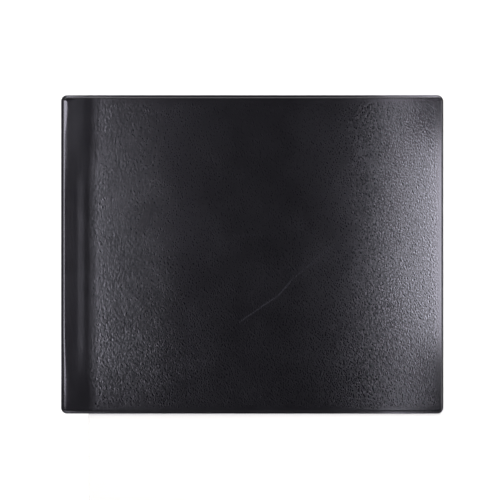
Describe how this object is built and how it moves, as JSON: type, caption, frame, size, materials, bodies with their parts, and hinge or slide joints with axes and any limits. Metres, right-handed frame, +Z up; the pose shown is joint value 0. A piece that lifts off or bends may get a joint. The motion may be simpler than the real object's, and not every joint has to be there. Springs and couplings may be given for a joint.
{
  "type": "desk mat",
  "caption": "Flat, padded leather-look desk mat with a welded rim, rounded corners and a narrow side strip that folds down over the desk's edge.",
  "frame": {"origin": "middle of the underside, on the surface that the mat lies on", "axes": "+X along the long side, away from the side strip; +Y away from the user; +Z up out of the writing face"},
  "size_m": [0.6, 0.5, 0.0045],
  "materials": {
    "grained_film": "satin",
    "base_film": "matte",
    "board": "matte",
    "foam": "matte",
    "non_slip": "matte"
  },
  "bodies": {
    "panel": {"panel_top_cover": "grained_film", "panel_foam": "foam", "panel_board": "board", "panel_base_cover": "base_film", "panel_backing": "non_slip", "hinge_top_web": "grained_film", "hinge_base_web": "base_film"},
    "side_strip": {"strip_top_cover": "grained_film", "strip_foam": "foam", "strip_board": "board", "strip_base_cover": "base_film", "strip_backing": "non_slip"}
  },
  "joints": [
    {"name": "side_strip_fold", "type": "hinge", "parent": "panel", "child": "side_strip", "pos_m": [-0.26, 0, 0.0031], "axis": [0, -1, 0], "range_deg": [0, 90], "deforming": ["hinge_top_web", "hinge_base_web"]}
  ]
}
